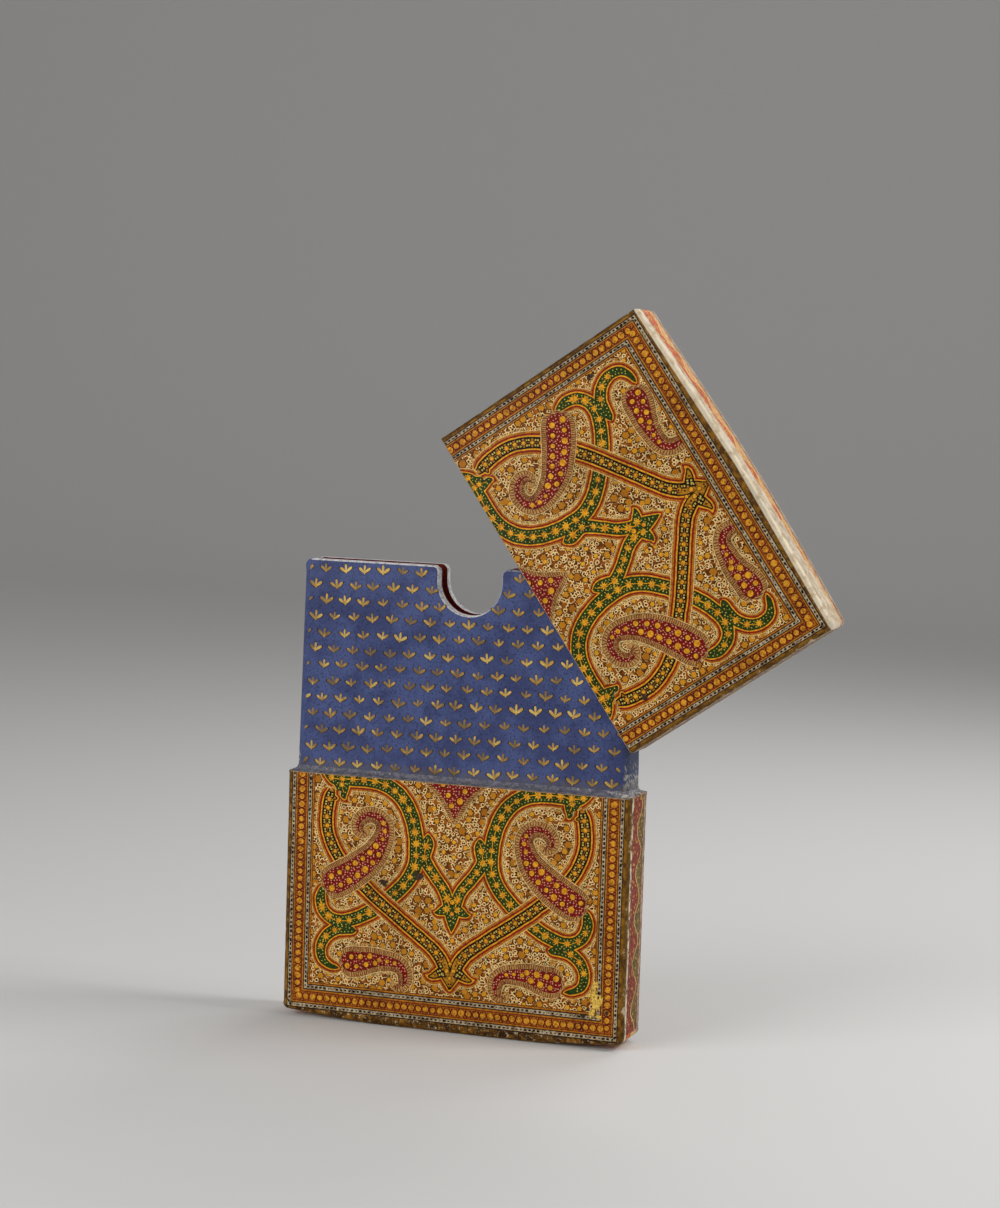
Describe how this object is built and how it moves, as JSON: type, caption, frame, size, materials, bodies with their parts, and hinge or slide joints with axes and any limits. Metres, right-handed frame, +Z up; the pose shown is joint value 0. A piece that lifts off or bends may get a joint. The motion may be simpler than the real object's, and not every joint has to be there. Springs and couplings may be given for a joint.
{
  "type": "card case",
  "caption": "Flat painted pasteboard case for visiting cards: a lower half with a notched inner sleeve, and a pull-off cap hung turned on the sleeve's corner.",
  "frame": {"origin": "centre of the flat on the case's bowed bottom, on the surface that it stands on", "axes": "+Z up out of the card well, -Y towards the viewer of the front face, +X to the right, where the cap hangs"},
  "size_m": [0.113, 0.0142, 0.1483],
  "materials": {
    "painted_face": "lacquered pasteboard painted in gold, cream, green, red and black",
    "painted_edge": "lacquered pasteboard, red with a gold vine",
    "blue_sleeve": "blue paint with small gold sprigs, satin varnish",
    "gesso": "bare worn gesso, matt grey",
    "bare_board": "unpainted pasteboard",
    "red_paper": "matt dark red paper"
  },
  "bodies": {
    "case": {"case_front_board": "painted_face", "case_back_board": "painted_face", "case_left_strip": "painted_edge", "case_right_strip": "painted_edge", "case_bottom_strip": "painted_edge", "shoulder_fillet": "gesso", "sleeve_front_board": "blue_sleeve", "sleeve_back_board": "blue_sleeve", "sleeve_left_strip": "blue_sleeve", "sleeve_right_strip": "blue_sleeve", "sleeve_floor_strip": "bare_board", "lining_front_sheet": "red_paper", "lining_back_sheet": "red_paper", "lining_left_slip": "red_paper", "lining_right_slip": "red_paper", "lining_floor_slip": "red_paper"},
    "cap": {"cap_front_board": "painted_face", "cap_back_board": "painted_face", "cap_left_strip": "painted_edge", "cap_right_strip": "painted_edge", "cap_end_strip": "painted_edge"}
  },
  "joints": [
    {"name": "cap_slide", "type": "slide", "parent": "case", "child": "cap", "axis": [0.8206, 0.0349, 0.5704], "range_m": [0, 0.06]}
  ]
}
